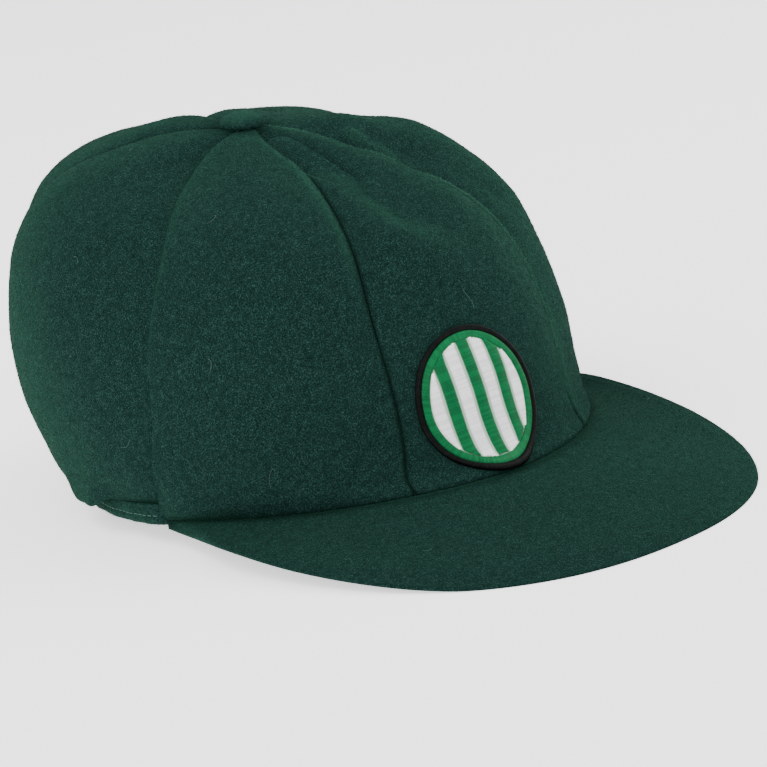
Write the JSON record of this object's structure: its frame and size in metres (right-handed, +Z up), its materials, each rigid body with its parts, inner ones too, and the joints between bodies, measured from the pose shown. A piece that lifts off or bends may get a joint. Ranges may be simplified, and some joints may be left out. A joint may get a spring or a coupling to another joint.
{
  "type": "cricket cap",
  "caption": "Soft wool cricket cap: puffed crown panels meeting at a covered button, short stiff peak, elasticated hem round the back and a plain striped badge.",
  "frame": {"origin": "centre of the bounding box on the surface that the cap rests on", "axes": "+Z up, the peak points to -Y, the wearer's right side is -X"},
  "size_m": [0.1812, 0.2992, 0.1248],
  "materials": {
    "wool_cloth": "bottle-green melton wool, matte with a fine raised nap",
    "badge_thread": "satin-stitched embroidery thread"
  },
  "bodies": {
    "root": {"crown_panel_front": "wool_cloth", "crown_panel_right_front": "wool_cloth", "crown_panel_right_rear": "wool_cloth", "crown_panel_rear": "wool_cloth", "crown_panel_left_rear": "wool_cloth", "crown_panel_left_front": "wool_cloth", "peak": "wool_cloth", "rear_hem": "wool_cloth", "button": "wool_cloth", "badge": "badge_thread"}
  },
  "joints": []
}
